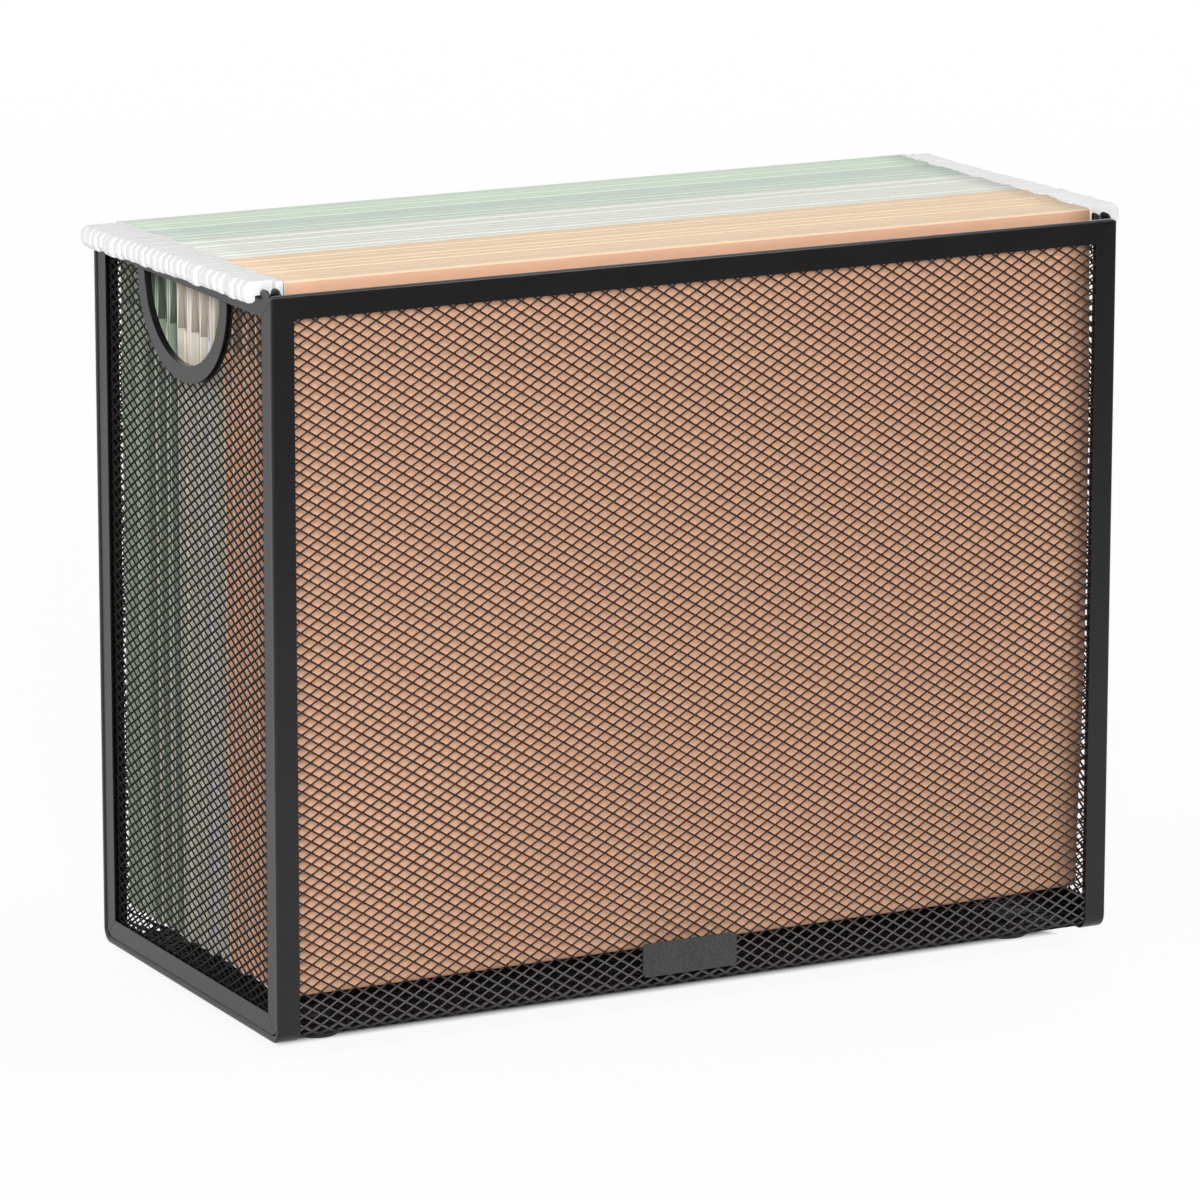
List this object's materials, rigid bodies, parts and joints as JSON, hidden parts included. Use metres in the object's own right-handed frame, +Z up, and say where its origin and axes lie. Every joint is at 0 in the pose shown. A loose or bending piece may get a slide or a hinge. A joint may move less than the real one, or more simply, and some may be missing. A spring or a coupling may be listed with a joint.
{
  "type": "mesh hanging file organizer",
  "caption": "Open-topped black mesh desk case with side rails and hand holes, holding a row of hanging file folders that lift out.",
  "frame": {"origin": "middle of the footprint, on the surface that the feet stand on", "axes": "+X to the right along the front, +Y to the rear, +Z up"},
  "size_m": [0.3244, 0.143, 0.2566],
  "materials": {
    "black_coat": "satin powder coat with a fine grain",
    "plate_grey": "satin dark grey paint",
    "foot_black": "matt",
    "washer_black": "matt",
    "tan_card": "matt card",
    "grey_card": "matt card",
    "green_card": "matt card",
    "pale_card": "matt card",
    "hook_white": "dipped vinyl coat on steel",
    "manila": "matt paper edges"
  },
  "bodies": {
    "case": {"front_mesh": "black_coat", "rear_mesh": "black_coat", "base_mesh": "black_coat", "left_edge_channel": "black_coat", "right_edge_channel": "black_coat", "front_top_channel": "black_coat", "rear_top_channel": "black_coat", "left_end_mesh": "black_coat", "left_front_upright": "black_coat", "left_rear_upright": "black_coat", "left_base_channel": "black_coat", "left_hand_hole_rim": "black_coat", "left_file_rail": "black_coat", "right_end_mesh": "black_coat", "right_front_upright": "black_coat", "right_rear_upright": "black_coat", "right_base_channel": "black_coat", "right_hand_hole_rim": "black_coat", "right_file_rail": "black_coat", "name_plate": "plate_grey", "front_left_foot": "foot_black", "rear_left_foot": "foot_black", "front_right_foot": "foot_black", "rear_right_foot": "foot_black", "foot_washers": "washer_black"},
    "folder_01": {"folder_01_sleeve": "tan_card", "folder_01_rods": "hook_white"},
    "folder_02": {"folder_02_sleeve": "tan_card", "folder_02_rods": "hook_white"},
    "folder_03": {"folder_03_sleeve": "tan_card", "folder_03_rods": "hook_white"},
    "folder_04": {"folder_04_sleeve": "tan_card", "folder_04_rods": "hook_white"},
    "folder_05": {"folder_05_sleeve": "tan_card", "folder_05_rods": "hook_white", "folder_05_papers": "manila"},
    "folder_06": {"folder_06_sleeve": "grey_card", "folder_06_rods": "hook_white", "folder_06_papers": "manila"},
    "folder_07": {"folder_07_sleeve": "grey_card", "folder_07_rods": "hook_white", "folder_07_papers": "manila"},
    "folder_08": {"folder_08_sleeve": "grey_card", "folder_08_rods": "hook_white", "folder_08_papers": "manila"},
    "folder_09": {"folder_09_sleeve": "grey_card", "folder_09_rods": "hook_white", "folder_09_papers": "manila"},
    "folder_10": {"folder_10_sleeve": "green_card", "folder_10_rods": "hook_white"},
    "folder_11": {"folder_11_sleeve": "green_card", "folder_11_rods": "hook_white", "folder_11_papers": "manila"},
    "folder_12": {"folder_12_sleeve": "green_card", "folder_12_rods": "hook_white", "folder_12_papers": "manila"},
    "folder_13": {"folder_13_sleeve": "pale_card", "folder_13_rods": "hook_white"},
    "folder_14": {"folder_14_sleeve": "pale_card", "folder_14_rods": "hook_white"}
  },
  "joints": [
    {"name": "folder_01_lift", "type": "slide", "parent": "case", "child": "folder_01", "axis": [0, 0, 1], "range_m": [0, 0.245]},
    {"name": "folder_02_lift", "type": "slide", "parent": "case", "child": "folder_02", "axis": [0, 0, 1], "range_m": [0, 0.245]},
    {"name": "folder_03_lift", "type": "slide", "parent": "case", "child": "folder_03", "axis": [0, 0, 1], "range_m": [0, 0.245]},
    {"name": "folder_04_lift", "type": "slide", "parent": "case", "child": "folder_04", "axis": [0, 0, 1], "range_m": [0, 0.245]},
    {"name": "folder_05_lift", "type": "slide", "parent": "case", "child": "folder_05", "axis": [0, 0, 1], "range_m": [0, 0.245]},
    {"name": "folder_06_lift", "type": "slide", "parent": "case", "child": "folder_06", "axis": [0, 0, 1], "range_m": [0, 0.245]},
    {"name": "folder_07_lift", "type": "slide", "parent": "case", "child": "folder_07", "axis": [0, 0, 1], "range_m": [0, 0.245]},
    {"name": "folder_08_lift", "type": "slide", "parent": "case", "child": "folder_08", "axis": [0, 0, 1], "range_m": [0, 0.245]},
    {"name": "folder_09_lift", "type": "slide", "parent": "case", "child": "folder_09", "axis": [0, 0, 1], "range_m": [0, 0.245]},
    {"name": "folder_10_lift", "type": "slide", "parent": "case", "child": "folder_10", "axis": [0, 0, 1], "range_m": [0, 0.245]},
    {"name": "folder_11_lift", "type": "slide", "parent": "case", "child": "folder_11", "axis": [0, 0, 1], "range_m": [0, 0.245]},
    {"name": "folder_12_lift", "type": "slide", "parent": "case", "child": "folder_12", "axis": [0, 0, 1], "range_m": [0, 0.245]},
    {"name": "folder_13_lift", "type": "slide", "parent": "case", "child": "folder_13", "axis": [0, 0, 1], "range_m": [0, 0.245]},
    {"name": "folder_14_lift", "type": "slide", "parent": "case", "child": "folder_14", "axis": [0, 0, 1], "range_m": [0, 0.245]}
  ]
}
